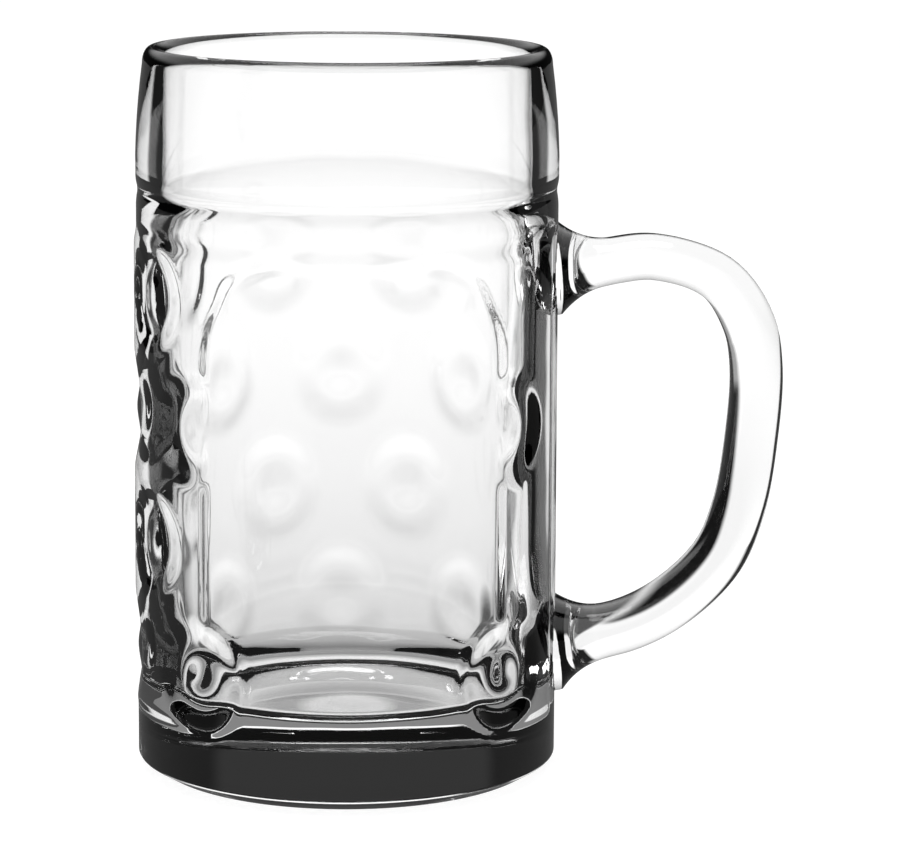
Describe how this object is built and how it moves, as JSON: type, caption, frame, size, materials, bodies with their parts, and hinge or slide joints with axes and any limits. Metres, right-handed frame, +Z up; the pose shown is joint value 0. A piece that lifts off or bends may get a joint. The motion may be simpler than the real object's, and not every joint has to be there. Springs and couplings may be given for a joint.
{
  "type": "beer mug",
  "caption": "Thick clear pressed-glass beer mug with rows of round dished eyes, a smooth front panel, a heavy base and a fused D-shaped handle.",
  "frame": {"origin": "on the cup's axis, at the underside that the mug stands on", "axes": "+Z up along the cup's axis, +X towards the handle, -Y through the middle of the smooth front panel"},
  "size_m": [0.1395, 0.0909, 0.155],
  "materials": {
    "clear_glass": "clear colourless pressed glass, fire polished"
  },
  "bodies": {
    "root": {"mug_body": "clear_glass", "handle": "clear_glass"}
  },
  "joints": []
}
